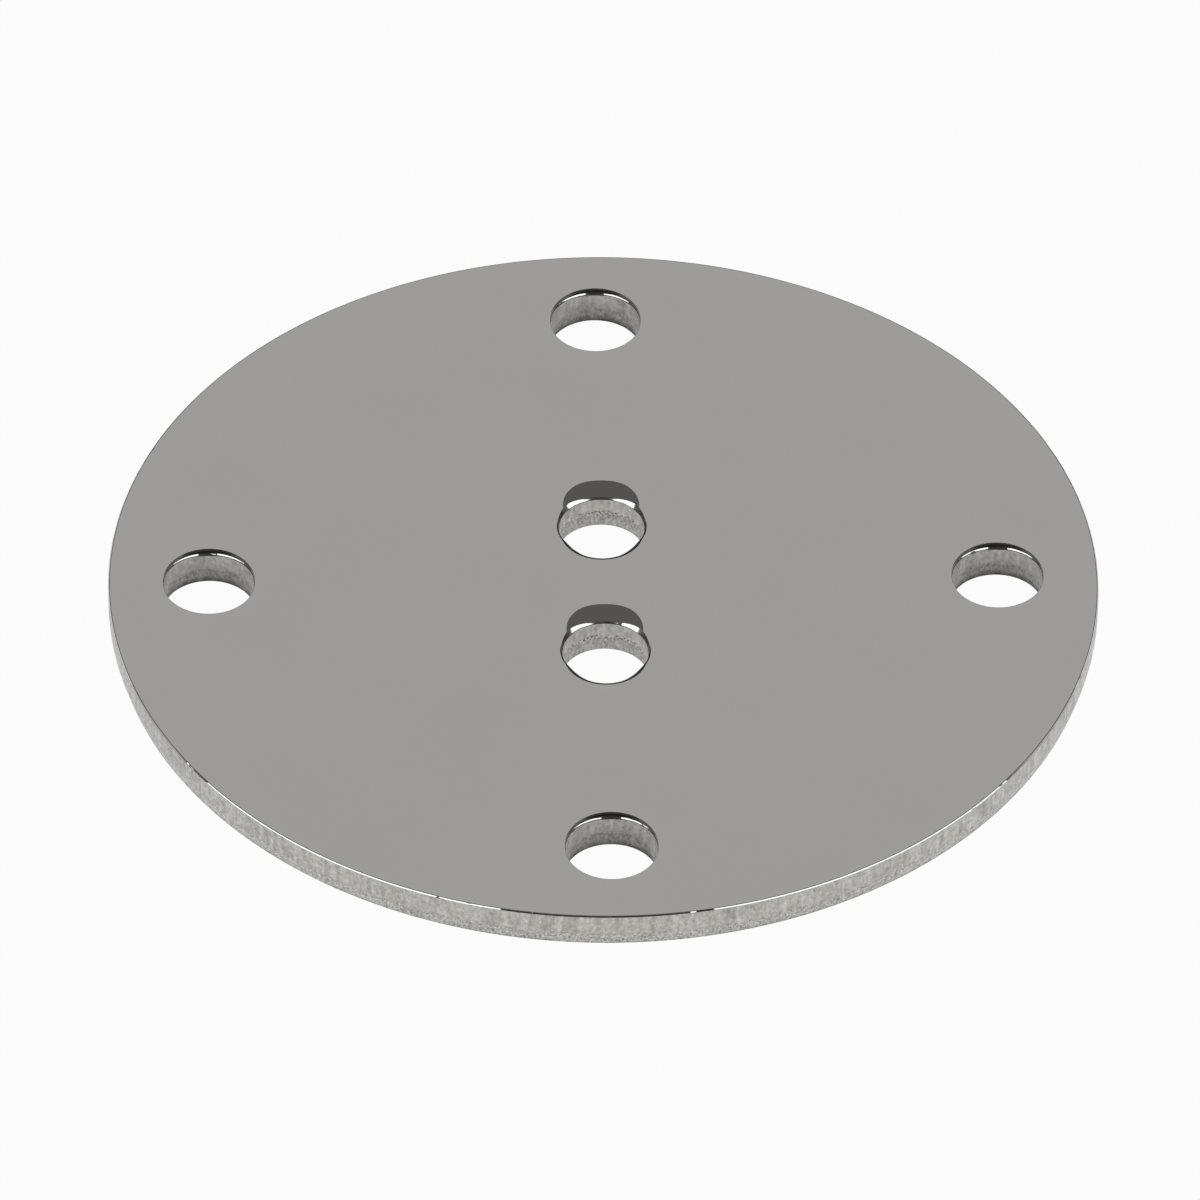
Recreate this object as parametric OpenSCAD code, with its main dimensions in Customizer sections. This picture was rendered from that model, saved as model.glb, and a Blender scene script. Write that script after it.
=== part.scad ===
// Round backing plate in polished stainless steel.
// A flat disc goes behind a panel and spreads the load of a fitting: four screws hold the fitting's
// base round the rim, and the two holes near the middle take the legs of its eye or bow.
// The plate is one piece. Its faces are flat, its top edges are buffed round, and its walls keep the
// two bands of a cut edge: a straight upper band and a lower band that breaks away from it.
// Buffing along Y has washed the edges of the inner holes away, most of all on their +Y sides.
// The origin is the middle of the underside, +Z is up, and the inner pair lies along Y.

/* [Plate] */
// Diameter over the rim, 3 inches
plate_dia = 76.2; // [72:0.1:110]
// Thickness of the sheet
plate_thick = 3; // [2.6:0.1:8]
// Radius of the buffed top edge
rim_radius = 0.25; // [0.1:0.05:1.2]
// Height of the broken lower band of the rim wall
rim_break_height = 1.1; // [0.4:0.05:1.3]
// How far the broken band draws in at the underside
rim_break_depth = 0.35; // [0.1:0.05:1]

/* [Outer holes] */
// Diameter of the circle that the outer holes lie on
hole_circle_dia = 60.7; // [48:0.1:66]
// Number of outer holes, evenly spaced from the +X side
outer_hole_count = 4; // [2:1:8]
// Diameter of each outer hole along its straight wall, for 1/4 inch or M6 screws
outer_hole_dia = 7; // [4:0.1:11]
// Radius of the buffed edge round each outer hole
outer_lip_radius = 0.4; // [0.1:0.05:0.9]

/* [Inner pair] */
// Diameter of each inner hole along its straight wall
inner_hole_dia = 6.6; // [5:0.1:9]
// Distance between the two inner holes, centre to centre
inner_spacing = 14.35; // [13.6:0.05:24]
// How far the middle of the pair sits off the plate's centre, toward -Y
pair_offset = 0.8; // [0:0.05:3]
// Depth of the buffed upper part of each inner wall
lip_depth = 0.35; // [0.3:0.05:0.7]
// How much the buffed part widens the hole at the face, on the radius
lip_width = 0.2; // [0.1:0.01:0.25]
// How far the buffing wheel washed the face away beyond the hole's +Y side
wash_reach = 1.85; // [0.6:0.05:2.4]
// Radius of that washed curve
wash_radius = 30; // [10:1:60]
// Angle in degrees at which that curve leaves the face
wash_lead = 5; // [3:1:15]
// How far the washed ring is centred off the hole, which narrows it toward the sides
wash_offset = 2.2; // [1:0.05:2.4]
// How far the edge is rounded off beyond the hole's -Y side
near_reach = 0.9; // [0.3:0.05:0.95]
// Radius of that rounding
near_radius = 1.25; // [1.2:0.05:2]
// How far that rounding is centred off the hole
near_offset = 0.85; // [0.3:0.05:1]

/* [Hole walls] */
// Height of the broken lower band in every hole
hole_break_height = 1.3; // [0.5:0.05:1.5]
// How much wider than its wall each hole is at the underside, on the radius
hole_break_width = 0.06; // [0.05:0.01:0.4]

/* [Colour] */
// Polished stainless steel
steel = [0.61, 0.61, 0.6];

/* [Hidden] */
$fn = 96;
rim_r = plate_dia / 2;
outer_r = outer_hole_dia / 2;
inner_r = inner_hole_dia / 2;
pair_y = [inner_spacing / 2 - pair_offset, -inner_spacing / 2 - pair_offset];
// The cutters run this far past the faces
past = 1;
// The washed curves run on this far inside the hole's wall
run_in = 0.15;
// The rounded edges leave the flat surfaces at this angle in degrees, so that they cross instead of touching
edge_lead = 4;

// Half section of the solid disc: straight wall, lower band drawn in, top edge round
module disc_section() {
    difference() {
        square([rim_r, plate_thick]);
        translate([rim_r - rim_radius, plate_thick - rim_radius])
            square([rim_radius + past, rim_radius + past]);
        polygon([
            [rim_r, rim_break_height],
            [rim_r - rim_break_depth, 0],
            [rim_r - rim_break_depth, -past],
            [rim_r + past, -past],
            [rim_r + past, rim_break_height]
        ]);
    }
    intersection() {
        translate([rim_r - rim_radius, plate_thick - rim_radius]) circle(r = rim_radius);
        translate([rim_r - rim_radius, plate_thick - rim_radius]) square(rim_radius);
    }
}

// Half section of the straight hole with its wider lower band
module bore_section(r) {
    translate([0, -past]) square([r, plate_thick + 2 * past]);
    polygon([
        [0, -past],
        [r + hole_break_width, -past],
        [r + hole_break_width, 0],
        [r, hole_break_height],
        [0, hole_break_height]
    ]);
}

// Cutter for an outer hole: the bore and its rounded edge
module outer_hole() {
    sink = outer_lip_radius * cos(edge_lead);
    rotate_extrude() {
        bore_section(outer_r);
        difference() {
            translate([0, plate_thick - sink]) square([outer_r + outer_lip_radius, sink + past]);
            translate([outer_r + outer_lip_radius, plate_thick - sink]) circle(r = outer_lip_radius);
        }
    }
}

// Cutter for one side that the buffing wheel washed away: an arc spun round an axis that stands off
// the hole's own toward +Y, so the wash is longest there and fades out at the sides
module wash(offset, reach, radius, lead) {
    arc_x = inner_r + reach - offset + radius * sin(lead);
    arc_z = plate_thick - radius * cos(lead);
    low = arc_z + sqrt(pow(radius, 2) - pow(radius * sin(lead) + reach + run_in, 2));
    translate([0, offset, 0])
        rotate_extrude()
            difference() {
                translate([0, low]) square([arc_x, plate_thick - low + past]);
                translate([arc_x, arc_z]) circle(r = radius);
            }
}

// Cutter for an inner hole: the bore, its steep buffed lip, and the wash on its +Y and -Y sides
module inner_hole() {
    lean = lip_width * cos(edge_lead) - lip_depth * sin(edge_lead);
    lip_radius = (pow(lip_width, 2) + pow(lip_depth, 2)) / (2 * lean);
    lip_x = inner_r + lip_radius * cos(edge_lead);
    lip_z = plate_thick - lip_depth - lip_radius * sin(edge_lead);
    rotate_extrude() {
        bore_section(inner_r);
        difference() {
            translate([0, lip_z]) square([lip_x, plate_thick - lip_z + past]);
            translate([lip_x, lip_z]) circle(r = lip_radius);
        }
    }
    wash(wash_offset, wash_reach, wash_radius, wash_lead);
    rotate(180) wash(near_offset, near_reach, near_radius, edge_lead);
}

module backing_plate() {
    color(steel)
        difference() {
            rotate_extrude() disc_section();
            for (i = [0 : outer_hole_count - 1])
                rotate(i * 360 / outer_hole_count)
                    translate([hole_circle_dia / 2, 0]) outer_hole();
            for (y = pair_y)
                translate([0, y]) inner_hole();
        }
}

backing_plate();
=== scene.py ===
import math

import bmesh
import bpy
from mathutils import Matrix, Vector


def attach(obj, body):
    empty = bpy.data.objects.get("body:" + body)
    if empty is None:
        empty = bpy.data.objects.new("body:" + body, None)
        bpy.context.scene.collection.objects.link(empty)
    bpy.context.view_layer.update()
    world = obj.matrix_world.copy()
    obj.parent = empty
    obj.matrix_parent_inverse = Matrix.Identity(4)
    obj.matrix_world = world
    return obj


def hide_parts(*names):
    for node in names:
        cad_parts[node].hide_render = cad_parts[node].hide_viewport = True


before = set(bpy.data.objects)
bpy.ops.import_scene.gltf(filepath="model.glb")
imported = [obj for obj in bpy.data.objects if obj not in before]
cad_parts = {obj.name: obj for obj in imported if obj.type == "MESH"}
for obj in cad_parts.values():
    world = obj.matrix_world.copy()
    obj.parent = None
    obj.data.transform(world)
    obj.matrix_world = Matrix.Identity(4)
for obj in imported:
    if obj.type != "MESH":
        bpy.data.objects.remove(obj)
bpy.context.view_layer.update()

# Camera: a long lens about 1.3 m away, looking down at the plate from the front. Its place and turn were
# worked out from the plate's outline and hole rims in the photograph, with the picture 1200 px square.
millimetre = 0.001
plate_radius = 38.1 * millimetre
thickness = 3 * millimetre
sensor_width = 36
picture_width_in_pixels = 1200
focal_length_in_pixels = 17072
plate_radius_to_distance = 0.0290
distance = plate_radius / plate_radius_to_distance
look_down = math.radians(41.797)
pan, tilt, roll = math.radians(0.0143), math.radians(0.0686), math.radians(0.587)
# the row of inner holes is turned this far round from straight away from the camera
pattern_turn = math.radians(1.582)

camera_data = bpy.data.cameras.new("long_lens")
camera_data.sensor_width = sensor_width
camera_data.lens = sensor_width * focal_length_in_pixels / picture_width_in_pixels
camera_data.clip_start = 0.05
camera_data.clip_end = 20
camera = bpy.data.objects.new("camera", camera_data)
bpy.context.scene.collection.objects.link(camera)

height = look_down + tilt
back = Vector((math.sin(pan) * math.cos(height), -math.cos(pan) * math.cos(height), math.sin(height)))
level = Vector((math.cos(pan), math.sin(pan), 0))
upward = back.cross(level)
right = math.cos(roll) * level + math.sin(roll) * upward
upward = math.cos(roll) * upward - math.sin(roll) * level
stand = Vector((0, -math.cos(look_down), math.sin(look_down))) * distance
turned = Matrix.Rotation(-pattern_turn, 4, "Z")
axes = Matrix((right, upward, back)).transposed().to_4x4()
camera.matrix_world = Matrix.Translation((0, 0, thickness)) @ turned @ Matrix.Translation(stand) @ axes
bpy.context.scene.camera = camera

# The plate: one flat disc of stainless steel sheet, cut to a round blank and pierced with four screw
# holes near the rim and two more across the middle. The top is then buffed to a mirror, which rounds
# the top edges and washes the metal away round the inner pair.
rim_edge = 0.085 * millimetre
rim_break_height = 1.1 * millimetre
rim_break_depth = 0.35 * millimetre
hole_circle_radius = 30.35 * millimetre
outer_hole_count = 4
outer_hole_radius = 3.5 * millimetre
inner_hole_radius = 3.3 * millimetre
inner_hole_spacing = 14.35 * millimetre
inner_pair_offset = 0.8 * millimetre
hole_break_height = 1.3 * millimetre
hole_break_width = 0.06 * millimetre
# narrow flat strips beside each rounded edge keep the mirror face dead flat up to the edge
flat_strip = 0.15 * millimetre
hair_strip = 0.02 * millimetre
wall_rows = 8
break_rows = 6
last_row = wall_rows + break_rows
steps_round_hole = 192
# height of the dark line at the top of each wall, painted shade and painted dark reflection under the buffed
# edge
dark_line = 0.04 * millimetre


def arc(start, radius, first, last, steps):
    """Points of a rounded edge that turns from one slope to another as it falls toward x = 0."""
    points = []
    for step in range(1, steps + 1):
        slope = first + (last - first) * step / steps
        x = start[0] - radius * (math.sin(slope) - math.sin(first))
        points.append((x, start[1] - radius * (math.cos(first) - math.cos(slope))))
    return points


def edge_points(top_points, break_height, foot_x, strip_end):
    """The outline of an edge from the top face round to the underside.

    x is the distance from the wall and y the height. The wall starts at the last of top_points, and
    its first row is as high as the dark line.
    """
    points = list(top_points)
    points.append((0, points[-1][1] - dark_line))
    wall_top = points[-1][1]
    for row in range(1, wall_rows):
        points.append((0, wall_top + (break_height - wall_top) * row / (wall_rows - 1)))
    for row in range(1, break_rows + 1):
        points.append((foot_x * row / break_rows, break_height * (1 - row / break_rows)))
    return points + [(strip_end, 0)]


def guide(name, verts, edges, faces, rows, painted_shade_and_pitting):
    """A helper object for the tree, with its rows, painted shade and pitting kept on its points.

    A row is below 0 on the buffed edge, 0 where the wall starts and past wall_rows in the broken band.
    Its painted shade and pitting say how much painted shade and painted dark reflection a point gets, and how
    pitted it is.
    """
    mesh = bpy.data.meshes.new(name)
    mesh.from_pydata(verts, edges, faces)
    columns = {
        "row": [float(row) for row in rows],
        "painted_shade": [float(painted_shade) for painted_shade, _ in painted_shade_and_pitting],
        "pitting": [float(pitting) for _, pitting in painted_shade_and_pitting],
    }
    for column, values in columns.items():
        mesh.attributes.new(column, "FLOAT", "POINT").data.foreach_set("value", values)
    made = bpy.data.objects.new(name, mesh)
    bpy.context.scene.collection.objects.link(made)
    return made


def between(value, low, high):
    """How far a value lies from low to high, from 0 to 1."""
    return min(max((value - low) / (high - low), 0), 1)


quarter = math.pi / 2
# the rim's top edge is broken at a steady slope and only softened above and below it
rim_facet = math.radians(54)
rim_soft = 0.03 * millimetre
# width on the flat face of the thin line of painted dark reflection beside the edge
rim_line = 0.03 * millimetre
upper_arc_rows, facet_rows, lower_arc_rows = 5, 3, 4
rim_top = [(rim_edge + strip, thickness) for strip in (flat_strip, rim_line + hair_strip, rim_line, 0)]
rim_top += arc(rim_top[-1], rim_soft, 0, rim_facet, upper_arc_rows)
facet_start = rim_top[-1]
facet_end = rim_soft * (1 - math.sin(rim_facet))
for step in range(1, facet_rows + 1):
    x = facet_start[0] + (facet_end - facet_start[0]) * step / facet_rows
    rim_top.append((x, facet_start[1] - (facet_start[0] - x) * math.tan(rim_facet)))
rim_top += arc(rim_top[-1], rim_soft, rim_facet, quarter, lower_arc_rows)
rim_foot_inset = rim_break_depth + flat_strip
rim_points = edge_points([(-x, y) for x, y in rim_top], rim_break_height, -rim_break_depth, -rim_foot_inset)
rim_rows = range(1 - len(rim_top), 1 - len(rim_top) + len(rim_points))
# the painted dark reflection lies on these rows, from its border on the flat face almost to the end of the
# first arc
dark_rim_rows = rim_rows[2 : 3 + upper_arc_rows]


def rim_painted_shade_and_pitting(row):
    """How much painted shade and how much pitting one row of the rim has; its foot gets a little painted
    shade too.
    """
    pitting = 0.15 if row < wall_rows else 0.5
    if row in dark_rim_rows:
        return 0.85, pitting
    return 0.5 if row == last_row else 0.0, pitting


# the height is drawn downward, because the sweep turns the outline over
rim_section = guide(
    "rim_section",
    [(x, -y, 0) for x, y in rim_points],
    [(i, i + 1) for i in range(len(rim_points) - 1)],
    [],
    rim_rows,
    [rim_painted_shade_and_pitting(row) for row in rim_rows],
)


def ring_of_outlines(name, radius, outline, top_count, painted_shade_and_pitting_at):
    """The edge of a hole as a closed band of faces; outline gives its points at an angle round the hole."""
    verts, faces, rows, painted_shade_and_pitting = [], [], [], []
    for step in range(steps_round_hole):
        angle = 2 * math.pi * step / steps_round_hole
        points = outline(angle)
        count = len(points)
        for index, (out, z) in enumerate(points):
            reach = radius + out
            verts.append((reach * math.cos(angle), reach * math.sin(angle), z))
            row = index + 1 - top_count
            before, after = points[max(index - 1, 0)], points[min(index + 1, count - 1)]
            falls = [(before[1] - z, before[0] - out), (z - after[1], out - after[0])]
            slope = max(math.degrees(math.atan2(fall, max(run, 1e-9))) for fall, run in falls)
            rows.append(row)
            painted_shade_and_pitting.append(painted_shade_and_pitting_at(row, angle, slope))
        beside = (step + 1) % steps_round_hole
        for index in range(count - 1):
            here, there = step * count + index, beside * count + index
            faces.append((here, there, there + 1, here + 1))
    return guide(name, verts, [], faces, rows, painted_shade_and_pitting)


# The edge of an outer hole is buffed over a wide gentle curve that turns sharply into the wall. The
# wheel ran along Y, so the curve is widest on the hole's +Y side and narrow at its two sides.
gentle_radius, sharp_radius = 0.85 * millimetre, 0.26 * millimetre
leading_slope, turning_slope = math.radians(13), math.radians(38)
gentle_rows, sharp_rows = 5, 10
outer_top_count = 3 + gentle_rows + sharp_rows
outer_top_reach = gentle_radius + flat_strip
# how much of the curve is left at the hole's two sides, and how much it gains toward +Y and -Y
share_at_sides, gain_far, gain_near = 0.06, 0.94, 0.1
# the slope in degrees from which the curve gets painted dark reflection: less within the hole's two ends
# along Y, whose half width is given as a share of the hole's radius
dark_slope_at_ends, dark_slope_elsewhere = 64, 77
end_half_width = 0.21


def outer_outline(angle):
    """The outline of an outer hole's edge at one angle round it."""
    gain = gain_far if math.sin(angle) > 0 else gain_near
    share = share_at_sides + gain * abs(math.sin(angle)) ** 1.5
    gentle, sharp = gentle_radius * share, sharp_radius * (0.25 + 0.75 * share)
    width = gentle * (math.sin(turning_slope) - math.sin(leading_slope))
    width += sharp * (1 - math.sin(turning_slope))
    points = [(outer_top_reach, thickness), (width + hair_strip, thickness), (width, thickness)]
    points += arc(points[-1], gentle, leading_slope, turning_slope, gentle_rows)
    points += arc(points[-1], sharp, turning_slope, quarter, sharp_rows)
    return edge_points(points, hole_break_height, hole_break_width, hole_break_width + flat_strip)


def outer_painted_shade_and_pitting(row, angle, slope):
    """How much painted shade and how much pitting an outer hole's edge has at one row and angle.

    Painted dark reflection lies at the hole's sides and wherever the edge falls steeply into the wall;
    painted shade darkens the wall more toward its foot.
    """
    at_side = 1 - between(abs(math.sin(angle)), 0.45, 0.7)
    if row < 0:
        at_end = abs(math.cos(angle)) < end_half_width
        dark_slope = dark_slope_at_ends if at_end else dark_slope_elsewhere
        on_side = 0.85 * at_side if row > -sharp_rows else 0.0
        return max(on_side, 0.9 * between(slope, dark_slope - 2, dark_slope)), 0.0
    if row == 0:
        return 0.5 + 0.4 * at_side, 0.0
    if row <= wall_rows:
        return 0.28 + 0.25 * between(row, 2, wall_rows) ** 1.5, 0.1
    return 0.62 + 0.38 * between(row, last_row - 3, last_row), 0.0


outer_edge = ring_of_outlines(
    "outer_hole_edge", outer_hole_radius, outer_outline, outer_top_count, outer_painted_shade_and_pitting
)

# An inner hole's edge isn't the same all round. The buffing wheel ran along Y and washed the face away
# in a long shallow curve beyond the hole's +Y side and in a short steep one on its -Y side. Below the
# wash a lip, buffed bright, runs down to the cut wall.
lip_depth = 0.35 * millimetre
lip_least_width = 0.12 * millimetre
lip_extra_width = 0.2 * millimetre
# the lip is widest at two places, this far round from the hole's +Y end, and its fall has this power
lip_widest_at = quarter / 2.3
lip_power = 1.25
# the wash never comes nearer to the wall than this, so a lip is left all round
least_crease = 0.03 * millimetre
# width on the flat face of the painted dark line beside the edge, and how much wider it is on the -Y side
inner_line = 0.02 * millimetre
inner_line_gain = 0.07 * millimetre
# each washed curve: its reach beyond the hole, its radius, its slopes where it leaves the face and where
# it turns straight, how far its ring is centred off the hole, and the power of the ring's outline, which
# is 2 for a circle and more for a squarer ring
far_wash = (1.85 * millimetre, 30 * millimetre, math.radians(5), math.radians(60), 2.2 * millimetre, 2.3)
near_wash = (0.67 * millimetre, 0.4 * millimetre, math.radians(18), math.radians(46), 0.87 * millimetre, 2)
inner_ring = inner_hole_radius + far_wash[0] + flat_strip
wash_rows = 16
lip_rows = 9
inner_top_count = 4 + wash_rows + lip_rows


def wash_inside(along, across, wash):
    """How far a point lies inside a washed ring, whose end is round and whose sides run straight back."""
    reach, _, _, _, offset, power = wash
    if along < 0:
        return -1
    beyond = max(along - offset, 0)
    return inner_hole_radius + reach - offset - (abs(across) ** power + beyond**power) ** (1 / power)


def wash_depth(along, across, wash):
    """How deep a washed curve lies below the face at a point from the hole's centre; along is to its side."""
    _, radius, lead, steepest, _, _ = wash
    inside = wash_inside(along, across, wash)
    if inside <= 0:
        return 0
    run = radius * math.sin(lead) + inside
    curved = min(run, radius * math.sin(steepest))
    straight = (run - curved) * math.tan(steepest)
    return radius * math.cos(lead) - math.sqrt(radius * radius - curved * curved) + straight


def washed(x, y):
    """How deep the face is washed away at a point from the hole's centre."""
    return max(wash_depth(y, x, far_wash), wash_depth(-y, x, near_wash))


def halve(low, high, is_low):
    """Closes in on the place between low and high where is_low stops being true."""
    for _ in range(30):
        middle = (low + high) / 2
        low, high = (middle, high) if is_low(middle) else (low, middle)
    return high


def wash_edge(angle, wash):
    """Where a washed curve starts, along a line out of the hole's centre; angle is from the curve's side."""
    way_along, way_across = math.cos(angle), math.sin(angle)
    return halve(0, inner_ring, lambda out: wash_inside(out * way_along, out * way_across, wash) > 0)


def inner_outline(angle):
    """The outline of an inner hole's edge at one angle round it, from the outer ring to the underside."""
    way_x, way_y = math.cos(angle), math.sin(angle)
    from_far_side = abs((angle - quarter + math.pi) % (2 * math.pi) - math.pi)
    swell = math.sin(min(quarter * from_far_side / lip_widest_at, math.pi)) ** 2
    lip_width = lip_least_width + lip_extra_width * swell

    def washed_at(out):
        spot = inner_hole_radius + out
        return washed(spot * way_x, spot * way_y)

    def lip_fall(out):
        return lip_depth * max(1 - out / lip_width, 0) ** lip_power

    crease = halve(least_crease, lip_width, lambda out: washed_at(out) <= lip_fall(out))
    start = max(
        wash_edge(angle - quarter, far_wash),
        wash_edge(angle + quarter, near_wash),
        inner_hole_radius + lip_width + hair_strip,
    )
    points = [(inner_ring - inner_hole_radius, thickness)]
    line_width = inner_line + inner_line_gain * between(-way_y, 0, 0.5)
    for strip in (line_width + hair_strip, line_width):
        points.append((start - inner_hole_radius + strip, thickness))
    for row in range(wash_rows + 1):
        out = start - inner_hole_radius + (crease - start + inner_hole_radius) * row / wash_rows
        points.append((out, thickness - washed_at(out)))
    for row in range(1, lip_rows + 1):
        out = crease * (1 - row / lip_rows)
        points.append((out, thickness - max(lip_fall(out), washed_at(out))))
    return edge_points(points, hole_break_height, hole_break_width, hole_break_width + flat_strip)


def inner_painted_shade_and_pitting(row, angle, slope):
    """How much painted shade and how much pitting an inner hole's edge has at one row and angle.

    Painted dark reflection lies on the -Y side, at the hole's sides and under the bright lip, and a little
    painted shade on the wall.
    """
    near_side = between(-math.sin(angle), -0.12, -0.02)
    at_side = between(0.67 - math.sin(angle), 0, 0.02)
    # the first two rows are the plain face beyond the painted dark line
    if row <= 2 - inner_top_count:
        near_side = 0
    if row < 0:
        under = 0.9 * between(slope, 62, 68)
        return max(under, near_side, 0.85 * at_side * between(slope, 14, 25)), 0.0
    if row == 0:
        return 0.9, 0.0
    return 0.12 if row <= wall_rows else 0.3, between(1.8 - abs(row - wall_rows), 0, 1)


inner_edge = ring_of_outlines(
    "inner_hole_edge", inner_hole_radius, inner_outline, inner_top_count, inner_painted_shade_and_pitting
)


def linear(hex_colour):
    """An sRGB hex colour as linear red, green, blue and alpha."""
    channels = [int(hex_colour[i : i + 2], 16) / 255 for i in (1, 3, 5)]
    return [c / 12.92 if c <= 0.04045 else ((c + 0.055) / 1.055) ** 2.4 for c in channels] + [1.0]


def add(tree, kind, inputs=(), **settings):
    """Adds a node to a tree with its settings, and links or fills its inputs, given in order or by name.

    An input is another node's output, a node, which stands for its first output, a hex colour or a value.
    A Mix node's inputs go by number: 0 is its factor, 2 and 3 are its values, and 6 and 7 its colours,
    whose mix is its output 2.
    """
    made = tree.nodes.new(kind)
    for name, value in settings.items():
        setattr(made, name, value)
    for key, value in inputs.items() if isinstance(inputs, dict) else enumerate(inputs):
        if isinstance(value, bpy.types.Node):
            value = value.outputs[0]
        if isinstance(value, bpy.types.NodeSocket):
            tree.links.new(value, made.inputs[key])
        elif isinstance(value, str) and value.startswith("#"):
            made.inputs[key].default_value = linear(value)
        else:
            made.inputs[key].default_value = value
    return made


# The tree sweeps the rim's section round the plate, sets the holes' edges out on their circle and their
# line, and closes the flat top and underside between them.
steps_round_rim = 1280
weld_distance = 0.002 * millimetre
plate_tree = bpy.data.node_groups.new("pierced_plate", "GeometryNodeTree")
plate_tree.interface.new_socket("Geometry", in_out="OUTPUT", socket_type="NodeSocketGeometry")
tree_sizes = {
    "Plate radius": ("NodeSocketFloat", plate_radius),
    "Thickness": ("NodeSocketFloat", thickness),
    "Rim section": ("NodeSocketObject", rim_section),
    "Rim top inset": ("NodeSocketFloat", rim_edge + flat_strip),
    "Rim foot inset": ("NodeSocketFloat", rim_foot_inset),
    "Hole circle radius": ("NodeSocketFloat", hole_circle_radius),
    "Outer hole count": ("NodeSocketInt", outer_hole_count),
    "Outer hole radius": ("NodeSocketFloat", outer_hole_radius),
    "Outer hole edge": ("NodeSocketObject", outer_edge),
    "Outer top reach": ("NodeSocketFloat", outer_top_reach),
    "Inner hole radius": ("NodeSocketFloat", inner_hole_radius),
    "Inner hole edge": ("NodeSocketObject", inner_edge),
    "Inner top reach": ("NodeSocketFloat", inner_ring - inner_hole_radius),
    "Inner hole spacing": ("NodeSocketFloat", inner_hole_spacing),
    "Inner first hole": ("NodeSocketFloat", -inner_hole_spacing / 2 - inner_pair_offset),
    "Hole foot reach": ("NodeSocketFloat", hole_break_width + flat_strip),
    "Steps round the rim": ("NodeSocketInt", steps_round_rim),
    "Steps round a hole": ("NodeSocketInt", steps_round_hole),
    "Streak depth": ("NodeSocketFloat", 0.012 * millimetre),
    "Break depth": ("NodeSocketFloat", 0.05 * millimetre),
    "Break line wander": ("NodeSocketFloat", 0.16 * millimetre),
    "Lip waves": ("NodeSocketFloat", 0.025 * millimetre),
    "Nick depth": ("NodeSocketFloat", 0.04 * millimetre),
    "Polished": ("NodeSocketMaterial", None),
    "Cut": ("NodeSocketMaterial", None),
    "Underside": ("NodeSocketMaterial", None),
}
for socket_name, (socket_kind, _) in tree_sizes.items():
    plate_tree.interface.new_socket(socket_name, in_out="INPUT", socket_type=socket_kind)
given = add(plate_tree, "NodeGroupInput").outputs
outer_places = add(
    plate_tree,
    "GeometryNodeMeshCircle",
    {"Vertices": given["Outer hole count"], "Radius": given["Hole circle radius"]},
)
first_place = add(plate_tree, "ShaderNodeCombineXYZ", [0, given["Inner first hole"], 0])
next_place = add(plate_tree, "ShaderNodeCombineXYZ", [0, given["Inner hole spacing"], 0])
inner_places = add(
    plate_tree,
    "GeometryNodeMeshLine",
    {"Count": 2, "Start Location": first_place, "Offset": next_place},
)


def hole_edges(places, edge):
    """One kind of hole edge, set out at its places."""
    drawn = add(plate_tree, "GeometryNodeObjectInfo", {"Object": given[edge]}).outputs["Geometry"]
    return add(plate_tree, "GeometryNodeInstanceOnPoints", {"Points": places, "Instance": drawn})


def flat_face(rim_inset, outer_reach, inner_reach, height, row_value):
    """The flat sheet between the rim and the holes, at one height, with its row stored on it."""
    outlines = add(plate_tree, "GeometryNodeJoinGeometry")
    for places, steps, radius, operation, change in (
        (None, "Steps round the rim", "Plate radius", "SUBTRACT", rim_inset),
        (outer_places, "Steps round a hole", "Outer hole radius", "ADD", outer_reach),
        (inner_places, "Steps round a hole", "Inner hole radius", "ADD", inner_reach),
    ):
        reach = add(plate_tree, "ShaderNodeMath", [given[radius], given[change]], operation=operation)
        sizes = {"Resolution": given[steps], "Radius": reach}
        outline = add(plate_tree, "GeometryNodeCurvePrimitiveCircle", sizes)
        if places is not None:
            placing = {"Points": places, "Instance": outline}
            outline = add(plate_tree, "GeometryNodeInstanceOnPoints", placing)
        plate_tree.links.new(outline.outputs[0], outlines.inputs[0])
    realized = add(plate_tree, "GeometryNodeRealizeInstances", [outlines])
    sheet = add(plate_tree, "GeometryNodeFillCurve", [realized])
    raised = add(plate_tree, "ShaderNodeCombineXYZ", [0, 0, height])
    moved = add(plate_tree, "GeometryNodeTransform", {"Geometry": sheet, "Translation": raised})
    stored = {"Geometry": moved, "Name": "row", "Value": row_value}
    return add(plate_tree, "GeometryNodeStoreNamedAttribute", stored, domain="POINT", data_type="FLOAT")


rim_path = add(
    plate_tree,
    "GeometryNodeCurvePrimitiveCircle",
    {"Resolution": given["Steps round the rim"], "Radius": given["Plate radius"]},
)
rim_drawn = add(plate_tree, "GeometryNodeObjectInfo", {"Object": given["Rim section"]}).outputs["Geometry"]
rim_chain = add(plate_tree, "GeometryNodeMeshToCurve", [rim_drawn])
# the flat top's row only has to come well before every row of the edges
top_row = -40
all_parts = add(plate_tree, "GeometryNodeJoinGeometry")
for part in (
    add(plate_tree, "GeometryNodeCurveToMesh", [rim_path, rim_chain]),
    hole_edges(outer_places, "Outer hole edge"),
    hole_edges(inner_places, "Inner hole edge"),
    flat_face("Rim top inset", "Outer top reach", "Inner top reach", given["Thickness"], top_row),
    flat_face("Rim foot inset", "Hole foot reach", "Hole foot reach", 0, last_row + 1),
):
    plate_tree.links.new(part.outputs[0], all_parts.inputs[0])
realized = add(plate_tree, "GeometryNodeRealizeInstances", [all_parts])
welded = add(plate_tree, "GeometryNodeMergeByDistance", {"Geometry": realized, "Distance": weld_distance})

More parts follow.
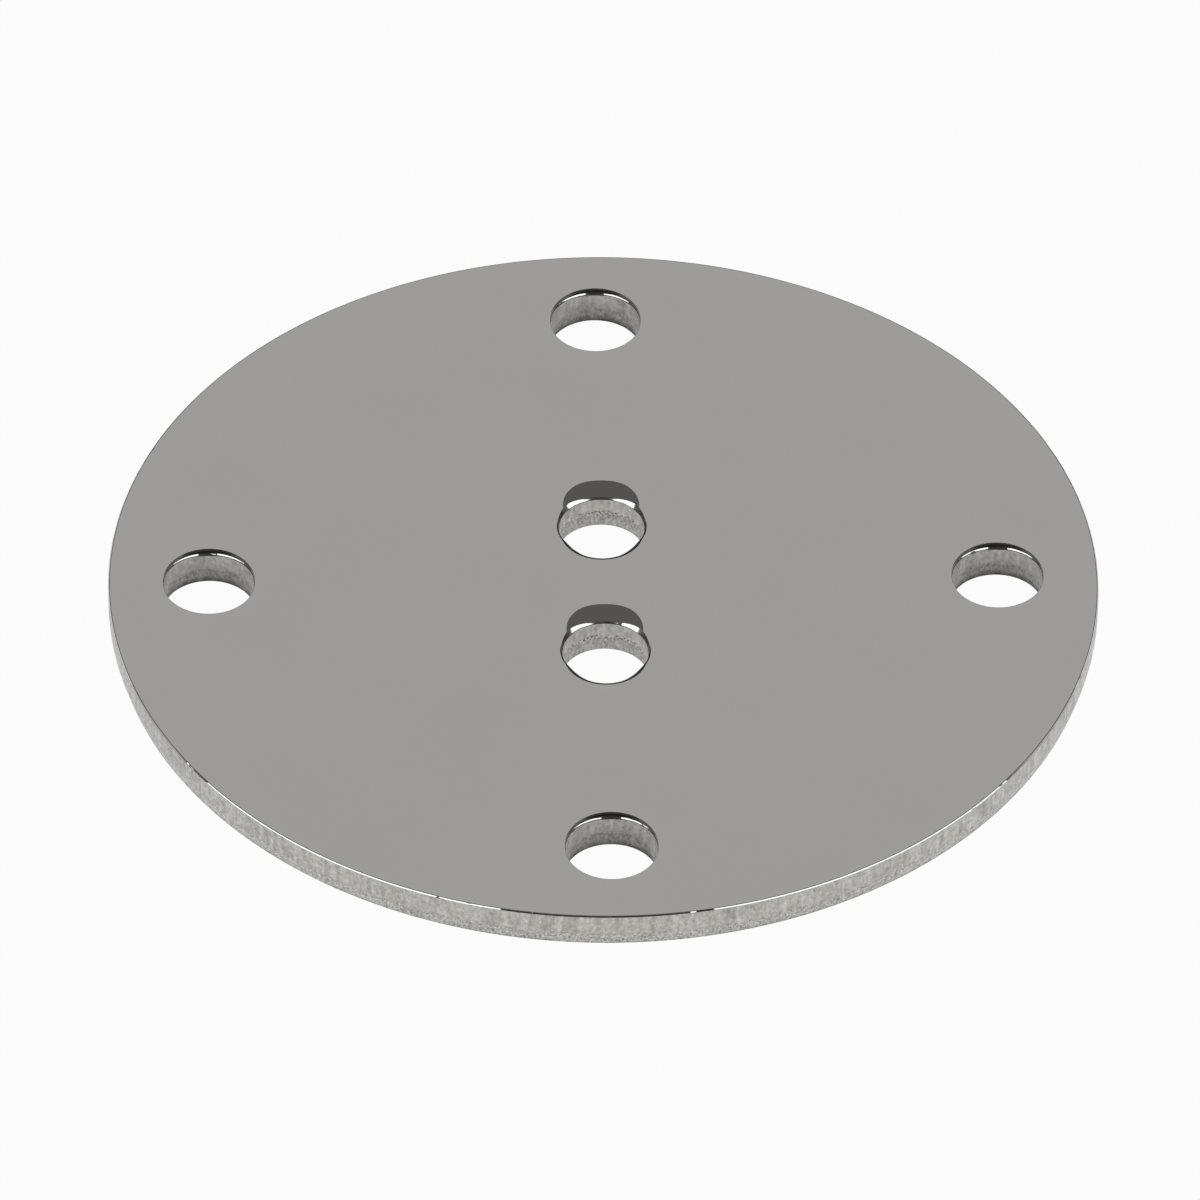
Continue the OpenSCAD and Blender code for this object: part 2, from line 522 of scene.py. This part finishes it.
# The walls are not smooth: the cutter leaves upright streaks, and the lower band breaks away rough,
# along a line that wanders up and down. The buffed edges are a little wavy and nicked.
row = add(plate_tree, "GeometryNodeInputNamedAttribute", {"Name": "row"}, data_type="FLOAT")
place = add(plate_tree, "GeometryNodeInputPosition")
outward = add(plate_tree, "GeometryNodeInputNormal")


def rough(size, stretch, detail, seed):
    """Uneven values from 0 to 1; size is one feature in metres and stretch squeezes the pattern's axes."""
    squeezed = add(plate_tree, "ShaderNodeVectorMath", [place, stretch], operation="MULTIPLY")
    return add(
        plate_tree,
        "ShaderNodeTexNoise",
        {"Vector": squeezed, "W": seed, "Scale": 1 / size, "Detail": detail, "Roughness": 0.55},
        noise_dimensions="4D",
    )


def on_rows(start, full, fading, end):
    """1 from the row full to the row fading, falling to 0 at the rows start and end."""
    rising = add(plate_tree, "ShaderNodeMapRange", [row, start, full])
    falling = add(plate_tree, "ShaderNodeMapRange", [row, end, fading])
    return add(plate_tree, "ShaderNodeMath", [rising, falling], operation="MULTIPLY")


streaks = rough(0.5 * millimetre, (1, 1, 0.06), 2, 1)
tears = rough(0.45 * millimetre, (1, 1, 0.45), 3, 5)
waves = rough(1.6 * millimetre, (1, 1, 1), 2, 13)
nicks = add(plate_tree, "ShaderNodeMapRange", [rough(0.9 * millimetre, (1, 1, 1), 1, 21), 0.64, 0.72])
on_wall = on_rows(0, 1, last_row - 1, last_row)
in_break = on_rows(wall_rows - 1, wall_rows + 1, last_row - 1, last_row)
on_lip = on_rows(-10, -7, -1, 0)
sunk = 0
for pattern, depth, where in (
    (streaks, "Streak depth", on_wall),
    (tears, "Break depth", in_break),
    (waves, "Lip waves", on_lip),
    (nicks, "Nick depth", on_lip),
):
    deep = add(plate_tree, "ShaderNodeMath", [pattern, given[depth]], operation="MULTIPLY")
    sunk = add(plate_tree, "ShaderNodeMath", [deep, where, sunk], operation="MULTIPLY_ADD")
push = add(plate_tree, "ShaderNodeMath", [0, sunk], operation="SUBTRACT")
sideways = add(plate_tree, "ShaderNodeVectorMath", {0: outward, "Scale": push}, operation="SCALE")
bends = rough(2.2 * millimetre, (1, 1, 0), 3, 9)
waver = add(plate_tree, "ShaderNodeMath", [bends, 0.5], operation="SUBTRACT")
wander = add(plate_tree, "ShaderNodeMath", [waver, given["Break line wander"]], operation="MULTIPLY")
near_line = on_rows(1, wall_rows, wall_rows, last_row)
upward_shift = add(plate_tree, "ShaderNodeMath", [wander, near_line], operation="MULTIPLY")
lift = add(plate_tree, "ShaderNodeCombineXYZ", [0, 0, upward_shift])
shift = add(plate_tree, "ShaderNodeVectorMath", [sideways, lift], operation="ADD")
uneven = add(plate_tree, "GeometryNodeSetPosition", {"Geometry": welded, "Offset": shift})

whole = add(plate_tree, "GeometryNodeRealizeInstances", [uneven])
finished = add(plate_tree, "GeometryNodeSetMaterial", {"Geometry": whole, "Material": given["Polished"]})
for finish, after_row in (("Cut", 0), ("Underside", last_row)):
    compared = {"A": row, "B": after_row}
    beyond = add(plate_tree, "FunctionNodeCompare", compared, data_type="FLOAT", operation="GREATER_THAN")
    finished = add(
        plate_tree,
        "GeometryNodeSetMaterial",
        {"Geometry": finished, "Selection": beyond, "Material": given[finish]},
    )
add(plate_tree, "NodeGroupOutput", [finished])


def new_material(name):
    """A material without nodes, and its tree."""
    material = bpy.data.materials.new(name)
    material.use_nodes = True
    material.node_tree.nodes.clear()
    return material, material.node_tree


def grain(tree, size, stretch=(1, 1, 1), detail=3, seed=0):
    """Noise on the plate's own coordinates; size is the width of one grain in metres."""
    own = add(tree, "ShaderNodeTexCoord").outputs["Object"]
    return add(
        tree,
        "ShaderNodeTexNoise",
        {
            "Vector": add(tree, "ShaderNodeMapping", {"Vector": own, "Scale": stretch}),
            "W": seed,
            "Scale": 1 / size,
            "Detail": detail,
        },
        noise_dimensions="4D",
    )


def patchy_painted_shade(tree):
    """Where painted shade and painted dark reflection lie, broken up so that its lines aren't even."""
    amount = add(tree, "ShaderNodeAttribute", attribute_name="painted_shade").outputs["Fac"]
    patches = add(tree, "ShaderNodeMapRange", [grain(tree, 0.9 * millimetre, seed=7), 0.3, 0.6])
    strength = add(tree, "ShaderNodeMapRange", {"Value": patches, "To Min": 0.8, "To Max": 1})
    return add(tree, "ShaderNodeMath", [amount, strength], operation="MULTIPLY", use_clamp=True)


# the colour of painted shade and painted dark reflection on the edges
painted_shade_tint = "#34332F"

# Stainless steel buffed to a mirror: grey, very slightly warm, with a trace of haze. Dark, dull lines
# of painted shade and painted dark reflection lie where the buffed edges meet the walls.
polish, tree = new_material("mirror_polished_stainless_steel")
haze = grain(tree, 9 * millimetre)
unshaded_polish = add(tree, "ShaderNodeMix", {0: haze, 6: "#CCCBC8", 7: "#CECDCA"}, data_type="RGBA").outputs[2]
painted_shade_amount = patchy_painted_shade(tree)
with_painted_shade = add(tree, "ShaderNodeMix", {0: painted_shade_amount, 6: unshaded_polish, 7: painted_shade_tint}, data_type="RGBA").outputs[2]
dull = add(tree, "ShaderNodeMapRange", {"Value": painted_shade_amount, "To Min": 0.04, "To Max": 0.4})
look = {"Base Color": with_painted_shade, "Metallic": 1, "Roughness": dull}
add(tree, "ShaderNodeOutputMaterial", [add(tree, "ShaderNodeBsdfPrincipled", look)])

# The cut wall: satin and mottled, with upright streaks; duller and specked with painted glints in the broken
# band.
# Small pits along the line where that band breaks away are darkened with painted shade. Real streaks and
# specks are finer than the picture can show, so they are drawn a few times coarser.
edge, tree = new_material("cut_stainless_steel_edge")
streak = grain(tree, 0.4 * millimetre, (1, 1, 0.05), 4)
mottle = grain(tree, 0.3 * millimetre, (1, 1, 0.8), 5, 2)
fleck = grain(tree, 0.18 * millimetre, (1, 1, 0.6), 3, 3)
streaky = add(tree, "ShaderNodeMix", {0: 0.55, 2: streak, 3: mottle}, data_type="FLOAT")
wall_tone = add(tree, "ShaderNodeMapRange", [streaky, 0.32, 0.68])
wall_colours = {0: wall_tone, 6: "#92918C", 7: "#CFCEC9"}
wall_colour = add(tree, "ShaderNodeMix", wall_colours, data_type="RGBA").outputs[2]
break_tone = add(tree, "ShaderNodeMapRange", [fleck, 0.32, 0.68])
break_colours = {0: break_tone, 6: "#8F8E8A", 7: "#CFCEC9"}
break_colour = add(tree, "ShaderNodeMix", break_colours, data_type="RGBA").outputs[2]
edge_row = add(tree, "ShaderNodeAttribute", attribute_name="row").outputs["Fac"]
below = add(tree, "ShaderNodeMapRange", [edge_row, wall_rows - 0.7, wall_rows + 0.3])
bare = add(tree, "ShaderNodeMix", {0: below, 6: wall_colour, 7: break_colour}, data_type="RGBA").outputs[2]
pitting = add(tree, "ShaderNodeAttribute", attribute_name="pitting").outputs["Fac"]
# painted glints: bright specks painted into the colour of the broken band
specks = add(tree, "ShaderNodeMapRange", [grain(tree, 0.16 * millimetre, (1, 1, 0.6), 2, 11), 0.64, 0.72])
roughened = add(tree, "ShaderNodeMapRange", [pitting, -0.1, 0.5])
glints = add(tree, "ShaderNodeMath", [specks, roughened], operation="MULTIPLY")
bright = add(tree, "ShaderNodeMix", {0: glints, 6: bare, 7: "#F0EFEA"}, data_type="RGBA").outputs[2]
# painted shade of small pits along the break line
pit_darkness = 0.8
pits = add(tree, "ShaderNodeMapRange", [grain(tree, 0.17 * millimetre, (1, 1, 0.9), 1, 17), 0.5, 0.6])
pitted = add(tree, "ShaderNodeMath", [pitting, pits], operation="MULTIPLY")
painted_pit_shade = add(tree, "ShaderNodeMath", [pitted, pit_darkness], operation="MULTIPLY")
# painted shade: the painted dark lines at the edges and the painted shade of the pits
painted_shade_mask = add(tree, "ShaderNodeMath", [patchy_painted_shade(tree), painted_pit_shade], operation="MAXIMUM")
with_painted_shade = add(tree, "ShaderNodeMix", {0: painted_shade_mask, 6: bright, 7: painted_shade_tint}, data_type="RGBA").outputs[2]
relief = add(tree, "ShaderNodeMix", {0: below, 2: streaky, 3: fleck}, data_type="FLOAT")
bump = add(tree, "ShaderNodeBump", {"Strength": 0.5, "Distance": 0.03 * millimetre, "Height": relief})
look = {"Base Color": with_painted_shade, "Metallic": 1, "Roughness": 0.4, "Normal": bump}
add(tree, "ShaderNodeOutputMaterial", [add(tree, "ShaderNodeBsdfPrincipled", look)])

# The underside keeps the sheet's rolled mill finish: an even dull grey with a fine grain along X.
mill, tree = new_material("mill_finish_stainless_steel")
rolled = grain(tree, 0.25 * millimetre, (0.04, 1, 1))
greys = add(tree, "ShaderNodeMix", {0: rolled, 6: "#AFAEAB", 7: "#BDBCB9"}, data_type="RGBA").outputs[2]
bump = add(tree, "ShaderNodeBump", {"Strength": 0.08, "Distance": 0.004 * millimetre, "Height": rolled})
look = {"Base Color": greys, "Metallic": 1, "Roughness": 0.3, "Normal": bump}
add(tree, "ShaderNodeOutputMaterial", [add(tree, "ShaderNodeBsdfPrincipled", look)])

blank = bpy.data.objects.new("plate_blank", bpy.data.meshes.new("plate_blank"))
bpy.context.scene.collection.objects.link(blank)
piercing = blank.modifiers.new("pierced_plate", "NODES")
piercing.node_group = plate_tree
chosen = {name: value for name, (_, value) in tree_sizes.items()}
chosen.update({"Polished": polish, "Cut": edge, "Underside": mill})
for item in plate_tree.interface.items_tree:
    if item.in_out == "INPUT":
        piercing[item.identifier] = chosen[item.name]
evaluated = blank.evaluated_get(bpy.context.evaluated_depsgraph_get())
plate_mesh = bpy.data.meshes.new_from_object(evaluated)
# the tree's joined parts leave an empty first slot, which no face uses
plate_mesh.materials.pop(index=0)
for used in (blank, rim_section, outer_edge, inner_edge):
    bpy.data.objects.remove(used)

surface = bmesh.new()
surface.from_mesh(plate_mesh)
bmesh.ops.recalc_face_normals(surface, faces=surface.faces)
for face in surface.faces:
    face.smooth = True
surface.to_mesh(plate_mesh)
surface.free()
crease_angle = math.radians(15)
plate_mesh.set_sharp_from_angle(angle=crease_angle)

plate = bpy.data.objects.new("stainless_plate", plate_mesh)
bpy.context.scene.collection.objects.link(plate)
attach(plate, "root")
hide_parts("backing_plate")

# Studio: a white table, a grey paper wall all round the back that the mirror face shows, a dark ceiling
# and front, and two long softboxes at the sides that give the white lines on the rounded edges.
table_radius = 6
tent_radius = 3
table_mesh = bpy.data.meshes.new("white_table")
shape = bmesh.new()
bmesh.ops.create_circle(shape, cap_ends=True, segments=96, radius=table_radius)
shape.to_mesh(table_mesh)
shape.free()
table = bpy.data.objects.new("white_table", table_mesh)
# a hair under the plate, so that the two flat faces don't share one plane
table.location.z = -0.01 * millimetre
bpy.context.scene.collection.objects.link(table)
paper, tree = new_material("white_table_paper")
matt = add(tree, "ShaderNodeBsdfDiffuse", {"Color": "#E8E8E8"})
lit = add(tree, "ShaderNodeEmission", {"Color": "#FFFFFF", "Strength": 1})
# only this share of the paper takes the plate's shadow where the picture shows it
shadow_share = 0.04
seen = add(tree, "ShaderNodeMixShader", [shadow_share, lit, matt])
rays = add(tree, "ShaderNodeLightPath").outputs
direct = add(tree, "ShaderNodeMath", [rays["Is Camera Ray"], rays["Is Glossy Ray"]], operation="ADD")
shown = add(tree, "ShaderNodeMath", [direct, rays["Is Transmission Ray"]], operation="ADD", use_clamp=True)
blend = add(tree, "ShaderNodeMixShader", [shown, matt, seen])
# from below the table is clear, so that the underside can be looked at
clear = add(tree, "ShaderNodeBsdfTransparent")
beneath = add(tree, "ShaderNodeNewGeometry").outputs["Backfacing"]
add(tree, "ShaderNodeOutputMaterial", [add(tree, "ShaderNodeMixShader", [beneath, blend, clear])])
table_mesh.materials.append(paper)

tent_mesh = bpy.data.meshes.new("studio_tent")
shape = bmesh.new()
bmesh.ops.create_icosphere(shape, subdivisions=5, radius=tent_radius)
shape.to_mesh(tent_mesh)
shape.free()
tent = bpy.data.objects.new("studio_tent", tent_mesh)
bpy.context.scene.collection.objects.link(tent)
tent.visible_camera = False
tent.visible_shadow = False
cloth, tree = new_material("studio_tent_cloth")
where = add(tree, "ShaderNodeTexCoord").outputs["Object"]
unit = add(tree, "ShaderNodeVectorMath", [where], operation="NORMALIZE")
way = add(tree, "ShaderNodeSeparateXYZ", [unit]).outputs
# degrees above the table, and degrees round from straight behind the plate
climb = add(tree, "ShaderNodeMath", [way["Z"]], operation="ARCSINE")
rise = add(tree, "ShaderNodeMath", [climb], operation="DEGREES")
bearing = add(tree, "ShaderNodeMath", [way["X"], way["Y"]], operation="ARCTAN2")
turned_to = add(tree, "ShaderNodeMath", [bearing], operation="DEGREES")
from_back = add(tree, "ShaderNodeMath", [turned_to, math.degrees(pattern_turn)], operation="SUBTRACT")
round_from_back = add(tree, "ShaderNodeMath", [from_back], operation="ABSOLUTE")
# The paper wall has a dark gap low down behind the plate, the skirting, and a narrow card stands on top of
# the wall there. Each soft border is given by what it is measured along, where it starts and ends in
# degrees, and the value before and after it.
borders = {
    "over the wall": (rise, 28, 31, 0, 1),
    "wall's ends": (round_from_back, 80, 92, 1, 0),
    "skirting's top": (rise, 15, 21, 1, 0),
    "skirting's ends": (round_from_back, 20, 26, 1, 0),
    "card's top": (rise, 44.5, 46.5, 1, 0),
    "card's ends": (round_from_back, 5, 7, 1, 0),
    "ceiling toward the front": (round_from_back, 70, 100, 0.14, 0.05),
    "ceiling toward the top": (rise, 61, 67, 1, 0.4),
}
soft = {
    name: add(tree, "ShaderNodeMapRange", border, interpolation_type="SMOOTHSTEP")
    for name, border in borders.items()
}
under_wall_top = add(tree, "ShaderNodeMath", [1, soft["over the wall"]], operation="SUBTRACT")
wall = add(tree, "ShaderNodeMath", [soft["wall's ends"], under_wall_top], operation="MULTIPLY")
skirting_borders = [soft["skirting's top"], soft["skirting's ends"]]
skirting = add(tree, "ShaderNodeMath", skirting_borders, operation="MULTIPLY")
off_skirting = add(tree, "ShaderNodeMath", [1, skirting], operation="SUBTRACT")
low_wall = add(tree, "ShaderNodeMath", [wall, off_skirting], operation="MULTIPLY")
card = add(tree, "ShaderNodeMath", [soft["card's top"], soft["card's ends"]], operation="MULTIPLY")
paper_wall = add(tree, "ShaderNodeMath", [card, soft["over the wall"], low_wall], operation="MULTIPLY_ADD")
ceiling_borders = [soft["ceiling toward the front"], soft["ceiling toward the top"]]
ceiling = add(tree, "ShaderNodeMath", ceiling_borders, operation="MULTIPLY")
paper_brightness = 0.545
brightness = add(tree, "ShaderNodeMix", {0: paper_wall, 2: ceiling, 3: paper_brightness}, data_type="FLOAT")
glow = add(tree, "ShaderNodeEmission", {"Color": "#FFFFFF", "Strength": brightness})
add(tree, "ShaderNodeOutputMaterial", [glow])
cloth.cycles.emission_sampling = "NONE"
tent_mesh.materials.append(cloth)

softbox_height = 0.42
softbox_brightness = 1.8
for side in (-1, 1):
    near_end, far_end = Vector((side * 0.3, -0.72, 0)), Vector((side * 0.6, -0.02, 0))
    along = (far_end - near_end).normalized()
    box_data = bpy.data.lights.new("softbox", "AREA")
    box_data.shape = "RECTANGLE"
    box_data.size = (far_end - near_end).length
    box_data.size_y = softbox_height
    box_data.energy = softbox_brightness * math.pi * box_data.size * box_data.size_y
    box = bpy.data.objects.new("softbox", box_data)
    bpy.context.scene.collection.objects.link(box)
    upright = Vector((0, 0, 1))
    # a lamp shines down its own Z, so that axis points away from the plate
    turn = Matrix((along * side, upright, along.cross(upright) * side)).transposed().to_4x4()
    centre = (near_end + far_end) / 2 + upright * softbox_height / 2
    box.matrix_world = Matrix.Translation(centre) @ turn
    box.visible_camera = False

world = bpy.data.worlds.new("white_room")
world.use_nodes = True
world.node_tree.nodes["Background"].inputs["Color"].default_value = linear("#FFFFFF")
world.node_tree.nodes["Background"].inputs["Strength"].default_value = 1.0
bpy.context.scene.world = world
bpy.context.scene.view_settings.view_transform = "Standard"
